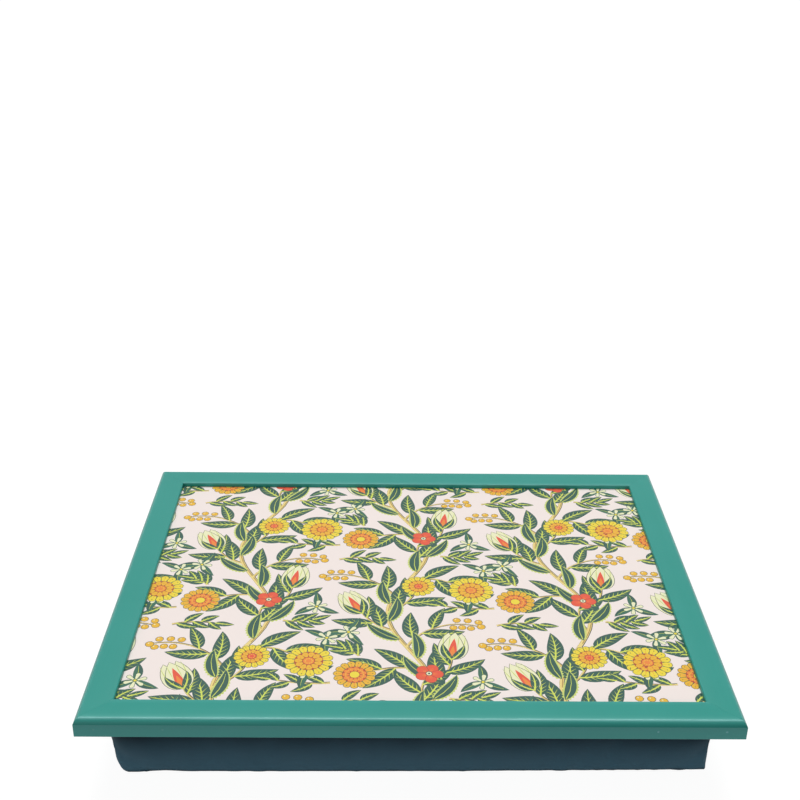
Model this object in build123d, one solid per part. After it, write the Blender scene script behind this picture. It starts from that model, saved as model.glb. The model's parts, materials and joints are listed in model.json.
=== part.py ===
from build123d import *
import math
import os

os.makedirs("parts", exist_ok=True)

# Lap tray: a mitred wooden frame round a decorated board, fixed on a bead-filled cushion.
# Sizes are in millimetres. The origin is on the surface the cushion rests on, under the
# middle of the tray. X runs along the tray, Y away from the person using it, Z up.

# Whole tray
TRAY_LENGTH = 430.0
TRAY_DEPTH = 330.0
CUSHION_HEIGHT = 46.0

# Boards, from the top down, in the frame's rebate
SHEET_THICKNESS = 0.4
PANEL_THICKNESS = 5.0
HEM_SPACE = 4.0
PANEL_CLEARANCE = 0.4

# Frame moulding, seen in section
RAIL_WIDTH = 22.0
LIP_OVERHANG = 6.0
LIP_DEPTH = 3.3
LIP_ROUND = 1.2
RIDGE_RISE = 0.6
SHOULDER_WIDTH = 2.9
SHOULDER_HEIGHT = 3.7
SHOULDER_BULGE = 0.35
RIDGE_ROUND = 0.8
SIDE_ROUND = 2.0
FOOT_ROUND = 0.5

# Brads and the filler over their heads
PIN_DIAMETER = 1.2
PIN_LENGTH = 20.0
PIN_PLAY = 0.05
FILLER_DEPTH = 1.0
PIN_DROP = 3.3
CORNER_PIN_PLACE = 13.0
PANEL_PIN_PLACE = 57.0

# Staples through the cushion's hem
STAPLE_WIDTH = 10.0
STAPLE_LEG = 4.0
STAPLE_WIRE = 0.5
STAPLE_PITCH = 30.0

# Cushion cover; a setback is how far inside its hem the cover is at that level
CLOTH_THICKNESS = 0.6
HEM_WIDTH = 14.0
HEM_CLEARANCE = 0.3
HEM_CORNER = 2.6
SEAM_HEIGHT = 2.6
SEAM_SETBACK = 0.9
SEAM_DRAW = 0.8
SEAM_CORNER = 2.6
BELLY_HEIGHT = 20.0
BELLY_SETBACK = 0.4
BELLY_DRAW = 0.5
BELLY_CORNER = 3.2
NECK_HEIGHT = 38.0
NECK_SETBACK = 0.4
NECK_DRAW = 0.3
NECK_CORNER = 3.0
CROWN_RUN = 46.0
CROWN_CUT = 0.5

# Inside the cover
LINER_THICKNESS = 0.3
LINER_SLACK = 0.3
BEAD_SLACK = 0.3

# Heights that follow from the sizes above
REBATE_DEPTH = HEM_SPACE + PANEL_THICKNESS + SHEET_THICKNESS
LIP_HEIGHT = REBATE_DEPTH + LIP_DEPTH
RIDGE_HEIGHT = LIP_HEIGHT + RIDGE_RISE
SIDE_FACE_HEIGHT = RIDGE_HEIGHT - SHOULDER_HEIGHT
FRAME_BASE = CUSHION_HEIGHT
PANEL_BASE = FRAME_BASE + HEM_SPACE
SHEET_BASE = PANEL_BASE + PANEL_THICKNESS
HEM_BASE = PANEL_BASE - CLOTH_THICKNESS
PIN_HEIGHT = FRAME_BASE + REBATE_DEPTH - PIN_DROP

# Insets from the tray's outer side that follow from the sizes above
REBATE_INSET = RAIL_WIDTH - LIP_OVERHANG
PANEL_INSET = REBATE_INSET + PANEL_CLEARANCE
HEM_INSET = REBATE_INSET + HEM_CLEARANCE
STAPLE_INSET = HEM_INSET + CLOTH_THICKNESS + HEM_WIDTH / 2
SEAM_INSET = HEM_INSET + SEAM_SETBACK
BELLY_INSET = HEM_INSET + BELLY_SETBACK
NECK_INSET = HEM_INSET + NECK_SETBACK

# Depth of the wedges that cut pieces at the corner mitres
MITRE_DEPTH = min(TRAY_LENGTH, TRAY_DEPTH) / 4

# How far down the crown each of its sections lies, and how far in towards the middle
crown_drop_shares = (0.0, 0.62, 0.92, 1.0)
crown_run_shares = (0.0, 0.12, 0.45, 1.0)

# Each side is made as if it were the front one, then turned about the middle:
# its name, its length, its distance from the middle and its turn
SIDES = (
    ("front", TRAY_LENGTH, TRAY_DEPTH / 2, 0),
    ("right", TRAY_DEPTH, TRAY_LENGTH / 2, 90),
    ("back", TRAY_LENGTH, TRAY_DEPTH / 2, 180),
    ("left", TRAY_DEPTH, TRAY_LENGTH / 2, 270),
)


def save(name, shape):
    export_step(shape, f"parts/{name}.step")


def group(solids):
    """Separate solids that share one node."""
    return Compound(children=list(solids))


# Wooden frame


def moulding_section():
    """The rail's section: x is the inset from the outer side, y the height."""
    foot = (0, 0)
    side_top = (0, SIDE_FACE_HEIGHT)
    ridge = (SHOULDER_WIDTH, RIDGE_HEIGHT)
    lip = (RAIL_WIDTH, LIP_HEIGHT)
    rebate_edge = (RAIL_WIDTH, REBATE_DEPTH)
    rebate_corner = (REBATE_INSET, REBATE_DEPTH)
    rebate = Polyline(lip, rebate_edge, rebate_corner, (REBATE_INSET, 0), foot)
    shoulder = SagittaArc(side_top, ridge, SHOULDER_BULGE)
    top = TangentArc(ridge, lip, tangent=(1, 0))
    section = make_face([*rebate.edges(), Line(foot, side_top), shoulder, top])
    rounds = ((foot, FOOT_ROUND), (side_top, SIDE_ROUND), (ridge, RIDGE_ROUND), (lip, LIP_ROUND))
    for corner, radius in rounds:
        section = fillet(section.vertices().sort_by_distance(corner)[0], radius)
    return section


def mitre_wedge(run, reach, bottom, height):
    """The space of one side of the tray between its two corner mitres."""
    outer = -reach
    inner = MITRE_DEPTH - reach
    outline = Polyline(
        (-run / 2, outer),
        (run / 2, outer),
        (run / 2 - MITRE_DEPTH, inner),
        (MITRE_DEPTH - run / 2, inner),
        close=True,
    )
    return extrude(Pos(0, 0, bottom) * make_face(outline), amount=height)


def rail(run, reach):
    start = Plane(origin=(-run / 2, -reach, FRAME_BASE), x_dir=(0, 1, 0), z_dir=(1, 0, 0))
    bar = extrude(start * moulding_section(), amount=run)
    return bar & mitre_wedge(run, reach, FRAME_BASE, RIDGE_HEIGHT)


# Brads, driven square to each side at one height


def drilled(places, reach, radius, depth, length):
    """Cylinders at places along the front side, from depth under its face inwards."""
    rods = []
    for place in places:
        start = Plane(origin=(place, depth - reach, PIN_HEIGHT), z_dir=(0, 1, 0))
        rods.append(extrude(start * Circle(radius), amount=length))
    return rods


def both_ends(run, place):
    """The same distance from either end of a side."""
    return (place - run / 2, run / 2 - place)


# Staples, in a row through the middle of the hem


def staple(place, reach):
    crown_base = HEM_BASE - STAPLE_WIRE
    middle = STAPLE_INSET - reach
    crown = Pos(place, middle, crown_base) * Box(
        STAPLE_WIDTH, STAPLE_WIRE, STAPLE_WIRE, align=(Align.CENTER, Align.CENTER, Align.MIN)
    )
    for end in (-1, 1):
        leg_place = place + end * (STAPLE_WIDTH - STAPLE_WIRE) / 2
        crown += Pos(leg_place, middle, crown_base) * Box(
            STAPLE_WIRE, STAPLE_WIRE, STAPLE_LEG, align=(Align.CENTER, Align.CENTER, Align.MIN)
        )
    return crown


def staple_row(run, reach):
    stretch = run - 2 * (STAPLE_INSET + STAPLE_WIDTH)
    gaps = max(1, round(stretch / STAPLE_PITCH))
    return [staple(stretch * (i / gaps - 1 / 2), reach) for i in range(gaps + 1)]


# Cushion


def level(height, inset, draw, corner):
    """A level section of the cushion, its sides drawn in between rounded corners."""
    half_x = TRAY_LENGTH / 2 - inset
    half_y = TRAY_DEPTH / 2 - inset
    bend = corner * (1 - math.sqrt(1 / 2))
    edges = []
    for x, y in ((1, -1), (1, 1), (-1, 1), (-1, -1)):
        on_x_side = (x * (half_x - corner), y * half_y)
        on_y_side = (x * half_x, y * (half_y - corner))
        middle = (x * (half_x - bend), y * (half_y - bend))
        edges.append(ThreePointArc(on_x_side, middle, on_y_side))
    edges.append(drawn_side((-half_x, corner - half_y), (-half_x, half_y - corner), (draw, 0)))
    edges.append(drawn_side((half_x, corner - half_y), (half_x, half_y - corner), (-draw, 0)))
    edges.append(drawn_side((corner - half_x, -half_y), (half_x - corner, -half_y), (0, draw)))
    edges.append(drawn_side((corner - half_x, half_y), (half_x - corner, half_y), (0, -draw)))
    return Pos(0, 0, height) * make_face(edges)


def drawn_side(start, end, draw):
    """One side of a level section, straight where nothing draws it in."""
    if draw == (0, 0):
        return Line(start, end)
    middle = ((start[0] + end[0]) / 2 + draw[0], (start[1] + end[1]) / 2 + draw[1])
    return ThreePointArc(start, middle, end)


def cushion_form(inside, lowest, top):
    """The cushion's closed form, this far inside its cover's outer face."""
    side_levels = (
        (SEAM_HEIGHT, SEAM_INSET, SEAM_DRAW, SEAM_CORNER),
        (BELLY_HEIGHT, BELLY_INSET, BELLY_DRAW, BELLY_CORNER),
        (NECK_HEIGHT, NECK_INSET, NECK_DRAW, NECK_CORNER),
        (FRAME_BASE, HEM_INSET, 0, HEM_CORNER),
    )
    sides = [level(z, inset + inside, draw, corner - inside) for z, inset, draw, corner in side_levels]
    throat = extrude(sides[-1], amount=top - FRAME_BASE)
    crown = []
    for drop_share, run_share in zip(crown_drop_shares, crown_run_shares):
        height = SEAM_HEIGHT - drop_share * (SEAM_HEIGHT - lowest)
        inset = SEAM_INSET + inside + run_share * CROWN_RUN
        crown.append(level(height, inset, SEAM_DRAW, SEAM_CORNER - inside))
    return loft(sides) + throat + loft(crown)


def slab(bottom, top):
    """All of the tray's plan between two heights."""
    face = Pos(0, 0, bottom) * Rectangle(TRAY_LENGTH, TRAY_DEPTH)
    return extrude(face, amount=top - bottom)


def cover_shell():
    outer = cushion_form(0, -CROWN_CUT, PANEL_BASE)
    inner = cushion_form(CLOTH_THICKNESS, CLOTH_THICKNESS, PANEL_BASE)
    return outer - inner


def hem():
    """The turned-in top edge of the cover, flat under the panel board."""
    edge = level(HEM_BASE, HEM_INSET, 0, HEM_CORNER)
    hole = level(HEM_BASE, HEM_INSET + CLOTH_THICKNESS + HEM_WIDTH, 0, HEM_CORNER)
    return extrude(edge - hole, amount=CLOTH_THICKNESS)


# Make every piece

pins = {"corner_pins": [], "panel_pins": []}
filler = []
drillings = []
for name, run, reach, turn in SIDES:
    rows = [("panel_pins", PANEL_PIN_PLACE)]
    if name in ("front", "back"):
        rows.append(("corner_pins", CORNER_PIN_PLACE))
    for node, place in rows:
        places = both_ends(run, place)
        radius = PIN_DIAMETER / 2
        hole_length = FILLER_DEPTH + PIN_LENGTH + PIN_PLAY
        shafts = drilled(places, reach, radius, FILLER_DEPTH, PIN_LENGTH)
        dabs = drilled(places, reach, radius, 0, FILLER_DEPTH)
        holes = drilled(places, reach, radius + PIN_PLAY, 0, hole_length)
        pins[node] += [Rot(0, 0, turn) * shaft for shaft in shafts]
        filler += [Rot(0, 0, turn) * dab for dab in dabs]
        drillings += [Rot(0, 0, turn) * hole for hole in holes]

for name, run, reach, turn in SIDES:
    save(f"{name}_rail", Rot(0, 0, turn) * rail(run, reach) - drillings)

for node, solids in pins.items():
    save(node, group(solids))
save("pin_filler", group(filler))

staples = {}
for name, run, reach, turn in SIDES:
    staples[name] = [Rot(0, 0, turn) * one for one in staple_row(run, reach)]
    save(f"{name}_staples", group(staples[name]))
all_staples = [one for row in staples.values() for one in row]

board_length = TRAY_LENGTH - 2 * PANEL_INSET
board_depth = TRAY_DEPTH - 2 * PANEL_INSET
board_outline = Rectangle(board_length, board_depth)
save("printed_sheet", extrude(Pos(0, 0, SHEET_BASE) * board_outline, amount=SHEET_THICKNESS))
panel = extrude(Pos(0, 0, PANEL_BASE) * board_outline, amount=PANEL_THICKNESS)
save("panel_board", panel - drillings - all_staples)

shell = cover_shell()
band_ring = (shell & slab(SEAM_HEIGHT, PANEL_BASE)) + hem()
for name, run, reach, turn in SIDES:
    wedge = Rot(0, 0, turn) * mitre_wedge(run, reach, SEAM_HEIGHT, PANEL_BASE)
    save(f"cushion_{name}", (band_ring & wedge) - staples[name])
save("cushion_bottom", shell & slab(0, SEAM_HEIGHT))

liner_inside = CLOTH_THICKNESS + LINER_SLACK
liner_top = HEM_BASE - STAPLE_WIRE - LINER_SLACK
fill_inside = liner_inside + LINER_THICKNESS + BEAD_SLACK
fill_top = liner_top - LINER_THICKNESS - BEAD_SLACK
liner_room = liner_inside + LINER_THICKNESS
liner = cushion_form(liner_inside, liner_inside, liner_top)
liner -= cushion_form(liner_room, liner_room, liner_top - LINER_THICKNESS)
save("liner_bag", liner)
save("bead_filling", cushion_form(fill_inside, fill_inside, fill_top))

print("frame height", round(RIDGE_HEIGHT, 2), "whole height", round(FRAME_BASE + RIDGE_HEIGHT, 2))
print("staples", {name: len(row) for name, row in staples.items()})
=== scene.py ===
# %% [markdown]
# # A lap tray with a cushion
#
# A lap tray is a framed board on a soft cushion, so that it sits level on a lap or a bed. This
# one has a wooden frame with mitred corners in satin teal-green paint, a top board under a
# printed botanical sheet, and a bead-filled cushion of dark cotton stapled underneath.
#
# The tray has been worked out in CAD already. Here its visible pieces are made again with
# everything a drawing leaves out: smooth mouldings, paint, ink, cloth and creases. Loading the
# frame first means that every piece can take its place and size from the CAD piece it dresses.

# %% Load the frame
import bpy
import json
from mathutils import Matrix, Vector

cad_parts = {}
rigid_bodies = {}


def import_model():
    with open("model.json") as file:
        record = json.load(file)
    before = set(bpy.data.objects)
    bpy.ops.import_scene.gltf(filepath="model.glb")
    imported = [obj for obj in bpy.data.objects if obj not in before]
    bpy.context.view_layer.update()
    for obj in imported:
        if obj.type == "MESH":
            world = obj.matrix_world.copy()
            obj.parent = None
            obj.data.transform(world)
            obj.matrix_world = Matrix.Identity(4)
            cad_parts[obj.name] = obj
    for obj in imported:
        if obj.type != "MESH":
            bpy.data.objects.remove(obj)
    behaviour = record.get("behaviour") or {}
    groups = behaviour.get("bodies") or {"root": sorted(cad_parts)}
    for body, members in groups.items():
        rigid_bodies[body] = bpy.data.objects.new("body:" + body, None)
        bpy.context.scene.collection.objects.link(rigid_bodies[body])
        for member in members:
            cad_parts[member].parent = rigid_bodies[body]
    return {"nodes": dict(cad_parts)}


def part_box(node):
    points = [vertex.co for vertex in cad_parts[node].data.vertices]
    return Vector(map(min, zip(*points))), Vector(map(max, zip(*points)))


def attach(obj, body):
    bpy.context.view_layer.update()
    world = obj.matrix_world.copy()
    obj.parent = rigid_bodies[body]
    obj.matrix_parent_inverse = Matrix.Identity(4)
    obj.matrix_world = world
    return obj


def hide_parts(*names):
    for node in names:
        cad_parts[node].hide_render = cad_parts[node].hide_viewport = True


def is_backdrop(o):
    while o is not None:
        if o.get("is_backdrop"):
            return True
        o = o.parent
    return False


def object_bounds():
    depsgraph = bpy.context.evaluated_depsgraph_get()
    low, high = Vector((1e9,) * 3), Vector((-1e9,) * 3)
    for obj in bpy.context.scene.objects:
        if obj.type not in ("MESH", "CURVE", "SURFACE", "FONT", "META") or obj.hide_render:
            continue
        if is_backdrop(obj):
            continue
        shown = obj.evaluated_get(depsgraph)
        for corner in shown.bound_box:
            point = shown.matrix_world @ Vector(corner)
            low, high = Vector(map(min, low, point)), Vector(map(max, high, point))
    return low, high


for leftover in list(bpy.data.objects):
    bpy.data.objects.remove(leftover)
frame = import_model()
cad_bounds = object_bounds()

import bmesh
import cmath
import json
import math
from mathutils import Vector, noise
from mathutils.geometry import delaunay_2d_cdt

MM = 0.001
scene = bpy.context.scene
print("CAD pieces:", len(frame["nodes"]))


# %% [markdown]
# ## Sizes
#
# Most sizes are read from the boxes of the CAD pieces, so the looks can't drift away from the
# drawing. Only the roundness of the moulding and the cushion's curves, which a box can't tell,
# are written as numbers. Everything below is in millimetres until a mesh is made.

# %% Read the sizes
def box_mm(node):
    """The lowest and highest corner of a CAD piece, in millimetres."""
    lowest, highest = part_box(node)
    return lowest / MM, highest / MM


rail_low, rail_high = box_mm("front_rail")
sheet_low, sheet_high = box_mm("printed_sheet")
tray_size = (cad_bounds[1] - cad_bounds[0]) / MM
TRAY_LENGTH, TRAY_DEPTH = tray_size.x, tray_size.y
FRAME_BASE = rail_low.z
FRAME_HEIGHT = rail_high.z - rail_low.z
RAIL_WIDTH = rail_high.y - rail_low.y
print("tray", round(TRAY_LENGTH), "x", round(TRAY_DEPTH), "mm, frame", round(RAIL_WIDTH), "mm wide")


# %% Helpers for sums
def shares(steps):
    """Even steps from 0 to 1."""
    return [i / steps for i in range(steps + 1)]


def bell(distance, width):
    """1 at no distance, fading smoothly to nothing over about two widths."""
    return math.exp(-((distance / width) ** 2))


def held_to_one(value):
    """A value kept between 0 and 1."""
    return min(1.0, max(0.0, value))


print("quarters:", shares(4))


# %% [markdown]
# ## Writing node trees as sums
#
# A material and a Geometry Nodes tree are both boards of nodes joined by wires. Joining them by
# hand takes a line for every wire, which hides the idea. A wire that knows Python's operators
# lets the sum be written as a sum: `1 - mask * 0.3` adds the two Math nodes by itself. One
# method adds every other kind of node, and a few short ones name what is asked for often.

# %% Wires
def first_live(sockets, key=None):
    """The first socket in use, or the one with this name or number."""
    if isinstance(key, int):
        return sockets[key]
    return next(s for s in sockets if s.enabled and key in (None, s.name))


def operator(operation, reflected=False):
    """A Python operator for wires that adds one Math node."""
    def add_node(self, other):
        first, second = (other, self) if reflected else (self, other)
        return self.board.node("ShaderNodeMath", {"operation": operation}, {0: first, 1: second})

    return add_node


class Wire:
    """An output socket that takes part in Python sums."""

    def __init__(self, board, socket):
        self.board, self.socket = board, socket

    def out(self, name):
        """Another output of the same node."""
        return Wire(self.board, first_live(self.socket.node.outputs, name))

    __add__, __radd__ = operator("ADD"), operator("ADD", True)
    __sub__, __rsub__ = operator("SUBTRACT"), operator("SUBTRACT", True)
    __mul__, __rmul__ = operator("MULTIPLY"), operator("MULTIPLY", True)
    __truediv__, __rtruediv__ = operator("DIVIDE"), operator("DIVIDE", True)


print("wires ready")


# %% Boards
class Board:
    """A node tree while it is being written."""

    def __init__(self, tree):
        self.tree = tree
        tree.nodes.clear()

    def node(self, kind, settings=None, sockets=None):
        """Add a node: first its settings, then the values or wires of its sockets."""
        new = self.tree.nodes.new(kind)
        for name, value in (settings or {}).items():
            if name == "stops":
                self.set_stops(new.color_ramp, value)
            else:
                setattr(new, name, value)
        for key, value in (sockets or {}).items():
            socket = first_live(new.inputs, key)
            if isinstance(value, Wire):
                self.tree.links.new(value.socket, socket)
            elif socket.type == "RGBA":
                socket.default_value = (*value[:3], 1.0)
            else:
                socket.default_value = value
        return Wire(self, first_live(new.outputs)) if len(new.outputs) else None

    def set_stops(self, ramp, stops):
        """Give a colour ramp its stops, as pairs of place and grey level."""
        while len(ramp.elements) < len(stops):
            ramp.elements.new(1.0)
        for element, (place, level) in zip(ramp.elements, stops):
            element.position = place
            element.color = (level, level, level, 1.0)

    def ramp(self, value, *stops):
        return self.node("ShaderNodeValToRGB", {"stops": stops}, {"Fac": value})

    def place(self):
        """Where a point lies on the object, in metres."""
        return self.node("ShaderNodeTexCoord").out("Object")

    def attribute(self, name, output="Fac"):
        return self.node("ShaderNodeAttribute", {"attribute_name": name}).out(output)

    def xyz(self, **parts):
        """A vector from its X, Y and Z."""
        return self.node("ShaderNodeCombineXYZ", {}, parts)

    def noise(self, where, scale, detail=2.0, roughness=0.5):
        """Smooth noise from 0 to 1, its features about 1 / scale metres across."""
        sockets = {"Vector": where, "Scale": scale, "Detail": detail, "Roughness": roughness}
        return self.node("ShaderNodeTexNoise", {}, sockets).out("Fac")

    def stretched(self, where, scale):
        """A vector with each of its axes stretched by its own amount."""
        sockets = {"Vector": where, "Scale": scale}
        return self.node("ShaderNodeMapping", {"vector_type": "POINT"}, sockets)

    def blend(self, factor, first, second):
        """Between two colours, by a factor from 0 to 1."""
        sockets = {"Factor": factor, "A": first, "B": second}
        return self.node("ShaderNodeMix", {"data_type": "RGBA"}, sockets)

    def bumped(self, height, depth, strength):
        """A bump that is this many metres deep where the height goes from 0 to 1."""
        sockets = {"Height": height, "Distance": depth, "Strength": strength}
        return self.node("ShaderNodeBump", {}, sockets)

    def surface(self, values):
        """The principled surface that every finish ends in."""
        shader = self.node("ShaderNodeBsdfPrincipled", {}, values)
        self.node("ShaderNodeOutputMaterial", {}, {"Surface": shader})


print("boards ready")


# %% [markdown]
# ## Making pieces
#
# Three habits keep every piece sound. Its points are written in millimetres and scaled once,
# when the mesh is made. Its faces are made to look outwards after doubled points are merged.
# It is shaded smooth except at edges sharper than a chosen angle, so that a moulding's rounds
# catch the light as one surface while its rebate stays crisp.

# %% Helpers for meshes
MERGE_DISTANCE = 0.002
NO_CREASE = 180


def colour(red, green, blue):
    """A colour picked on a screen, from 0 to 255, as the light values that shaders use."""
    levels = (level / 255 for level in (red, green, blue))
    return tuple(s / 12.92 if s <= 0.04045 else ((s + 0.055) / 1.055) ** 2.4 for s in levels)


def mesh_of(name, points, faces):
    """A mesh from points in millimetres; with faces of two points it is a line."""
    mesh = bpy.data.meshes.new(name)
    edges = [face for face in faces if len(face) == 2]
    mesh.from_pydata([Vector(point) * MM for point in points], edges, [f for f in faces if len(f) > 2])
    return mesh


def piece_of(name, mesh, finish):
    """An object at the origin for a finished mesh."""
    piece = bpy.data.objects.new(name, mesh)
    scene.collection.objects.link(piece)
    mesh.materials.clear()
    mesh.materials.append(finish)
    return piece


def settle_faces(mesh, crease):
    """Merge doubled points, turn the faces outwards and shade smooth below an angle."""
    work = bmesh.new()
    work.from_mesh(mesh)
    bmesh.ops.remove_doubles(work, verts=work.verts, dist=MERGE_DISTANCE * MM)
    bmesh.ops.recalc_face_normals(work, faces=work.faces)
    work.to_mesh(mesh)
    work.free()
    mesh.shade_smooth()
    mesh.set_sharp_from_angle(angle=math.radians(crease))


def evaluated_mesh(piece):
    """What a piece looks like with its modifiers, as a plain mesh."""
    shown = piece.evaluated_get(bpy.context.evaluated_depsgraph_get())
    return bpy.data.meshes.new_from_object(shown)


def declare(piece, slot, *nodes):
    """Attach a piece to the frame's root and hide the CAD pieces it stands for; the slot is not used.
    """
    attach(piece, "root")
    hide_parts(*nodes)
    triangles = sum(len(face.vertices) - 2 for face in piece.data.polygons)
    print(piece.name, "triangles:", triangles)


def finish_named(name):
    """A new material and its board."""
    material = bpy.data.materials.new(name)
    material.use_nodes = True
    return material, Board(material.node_tree)


# %% [markdown]
# ## The camera
#
# The photograph looks down on the tray from the front with a slightly long lens. The camera's
# place, turn and lens were fitted to the edges of the frame, so that this picture and the
# photograph can be laid one over the other. Building the turn from its forward, right and up
# directions avoids guessing the order of three angles.

# %% Set the camera
CAMERA_PLACE = Vector((-0.01465, -0.76749, 0.57036))
PITCH, YAW, ROLL = (math.radians(angle) for angle in (25.32, 0.523, 0.596))
LENS = 54.12
SENSOR_WIDTH = 36

forward = Vector((math.sin(YAW) * math.cos(PITCH), math.cos(YAW) * math.cos(PITCH), -math.sin(PITCH)))
level_right = Vector((math.cos(YAW), -math.sin(YAW), 0))
level_up = level_right.cross(forward)
right = math.cos(ROLL) * level_right + math.sin(ROLL) * level_up
up = math.cos(ROLL) * level_up - math.sin(ROLL) * level_right

camera = bpy.data.objects.new("camera", bpy.data.cameras.new("camera"))
scene.collection.objects.link(camera)
camera.data.lens = LENS
camera.data.sensor_width = SENSOR_WIDTH
for row in range(3):
    camera.matrix_world[row][:] = (right[row], up[row], -forward[row], CAMERA_PLACE[row])
scene.camera = camera
print("camera looks down by", round(math.degrees(PITCH), 1), "degrees")


# %% [markdown]
# ## Light and floor
#
# A white studio table needs soft light from everywhere and one broad lamp above. Suns with a
# wide angle do this well: they light a large floor evenly, and their soft edge keeps the
# shadow under the tray gentle. The floor adds a little glow where the camera sees it, so it
# reads as white, while the light that reaches the tray stays at a plain level.

# %% Light the scene
SKY_LEVEL = 0.2
suns = {
    # name: strength, width of the lamp in degrees, direction it comes from
    "back_light": (2.35, 36, (-0.02, 0.48, 1.0)),
    "front_light": (0.4, 40, (-0.3, -1.0, 0.35)),
}
for name, (strength, width, source) in suns.items():
    lamp = bpy.data.lights.new(name, "SUN")
    lamp.energy = strength
    lamp.angle = math.radians(width)
    sun = bpy.data.objects.new(name, lamp)
    sun.rotation_mode = "QUATERNION"
    sun.rotation_quaternion = Vector(source).to_track_quat("Z", "Y")
    scene.collection.objects.link(sun)


def seen_directly(board):
    """1 where the camera, a reflection or something clear sees the background."""
    path = board.node("ShaderNodeLightPath")
    seen = path.out("Is Camera Ray") + path.out("Is Glossy Ray") + path.out("Is Transmission Ray")
    return board.node("ShaderNodeMath", {"operation": "MINIMUM"}, {0: seen, 1: 1.0})


world = bpy.data.worlds.new("studio")
world.use_nodes = True
sky = Board(world.node_tree)
sky_strength = SKY_LEVEL + (1 - SKY_LEVEL) * seen_directly(sky)
white = (1.0, 1.0, 1.0)
backdrop = sky.node("ShaderNodeBackground", {}, {"Color": white, "Strength": sky_strength})
sky.node("ShaderNodeOutputWorld", {}, {"Surface": backdrop})
scene.world = world
scene.view_settings.view_transform = "Standard"
print("suns:", list(suns))

# %% Lay the floor
FLOOR_REACH = 4000.0
FLOOR_DROP = 0.05
FLOOR_GLOW = 1.1
GLOW_SHARE = 0.86
PAPER_GRAIN = 400
floor_paper, paper = finish_named("floor_paper")
paper_grain = paper.noise(paper.place(), PAPER_GRAIN)
paper_colour = paper.blend(paper_grain, colour(240, 240, 240), colour(243, 243, 243))
matt = paper.node("ShaderNodeBsdfDiffuse", {}, {"Color": paper_colour})
glow = paper.node("ShaderNodeEmission", {}, {"Color": white, "Strength": FLOOR_GLOW})
glow_share = seen_directly(paper) * GLOW_SHARE
lit_floor = paper.node("ShaderNodeMixShader", {}, {0: glow_share, 1: matt, 2: glow})
paper.node("ShaderNodeOutputMaterial", {}, {"Surface": lit_floor})

quarters = ((-1, -1), (1, -1), (1, 1), (-1, 1))
corners = [(x * FLOOR_REACH, y * FLOOR_REACH, -FLOOR_DROP) for x, y in quarters]
floor = piece_of("floor", mesh_of("floor", corners, [(0, 1, 2, 3)]), floor_paper)
floor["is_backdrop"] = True
print("floor", 2 * FLOOR_REACH * MM, "m wide")


# %% [markdown]
# ## The paint
#
# The rails are softwood moulding under satin paint. Paint is never one flat colour: it pulls
# thin and wears over a sharp ridge and lip, which are also painted lighter as a painted
# highlight. The shoulder below the ridge is painted darker as painted shade, and the sawn side
# is painted greyer as a painted reflection of the white floor. The paint also follows the wood
# underneath a little, and has the fine dimples that a spray leaves. Where these lie comes from
# attributes that the rail's section carries, and the grain from a place stored on the rail
# before it is turned, so one recipe fits all four rails.

# %% Mix the rails' paint
PAINT_TEAL = colour(42, 153, 142)
PAINT_DEEP = colour(34, 146, 134)
# a lighter colour for worn paint and a painted highlight on the ridge and lip
PAINT_WORN_HIGHLIGHT = colour(132, 204, 198)
# a greyer colour: a painted reflection of the white floor on the rails' sides
PAINT_SIDE_REFLECTION = colour(70, 138, 134)
# a darker colour: painted shade on the shoulder under the ridge
PAINT_SHOULDER_SHADE = colour(8, 113, 104)
GRAIN_STRETCH = (18, 420, 420)
SHOULDER_SHADE_SHARE, SIDE_REFLECTION_SHARE, WORN_HIGHLIGHT_SHARE = 0.85, 0.8, 0.85

rail_paint, paint = finish_named("rail_paint")
rail_place = paint.attribute("rail_place", "Vector")
wear_and_highlight = paint.attribute("thin_paint")
grain = paint.noise(paint.stretched(rail_place, GRAIN_STRETCH), 1.0, 3.0, 0.6)
clouds = paint.noise(rail_place, 22.0)
dimples = paint.noise(rail_place, 1500.0, 1.0)
body = paint.blend(clouds * 0.6 + grain * 0.4, PAINT_DEEP, PAINT_TEAL)
# worn paint with a painted highlight where the section marks the ridge and lip
worn_highlight = paint.ramp(grain * 0.5 + clouds * 0.5, (0.3, 0.55), (0.6, 1.0)) * wear_and_highlight
# painted shade on the shoulder under the ridge
with_shoulder_shade = paint.blend(paint.attribute("thick_paint") * SHOULDER_SHADE_SHARE, body, PAINT_SHOULDER_SHADE)
# a painted reflection of the white floor on the sawn side
with_side_reflection = paint.blend(paint.attribute("side_face") * SIDE_REFLECTION_SHARE, with_shoulder_shade, PAINT_SIDE_REFLECTION)
paint.surface({
    "Base Color": paint.blend(worn_highlight * WORN_HIGHLIGHT_SHARE, with_side_reflection, PAINT_WORN_HIGHLIGHT),
    "Roughness": 0.28 + 0.08 * clouds + 0.05 * grain,
    "Normal": paint.bumped(dimples * 0.35 + grain * 0.65, 0.00005, 0.6),
    "Specular IOR Level": 0.2,
})
print("paint ready")


# %% [markdown]
# ## The rails
#
# Each rail is one length of moulding: a section swept along a line, with its ends cut at 45
# degrees. That is a rule, so Geometry Nodes suit it. The section is drawn once as a closed
# outline. The tree sweeps it, slides every point along the rail by how far in it lies, which
# cuts the mitre, and turns the rail to its side. The four rails differ only in the tree's
# named inputs: their sizes, and how much worn paint and painted highlight their ridge and lip
# carry.

# %% Draw the moulding's section
LIP_DEPTH = 3.3
LIP_OVERHANG = 6.0
RIDGE_RISE = 0.6
SHOULDER_WIDTH = 2.9
SHOULDER_HEIGHT = 3.7
SHOULDER_BULGE = 0.35
REBATE_DEPTH = FRAME_HEIGHT - RIDGE_RISE - LIP_DEPTH
REBATE_INSET = RAIL_WIDTH - LIP_OVERHANG


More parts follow.
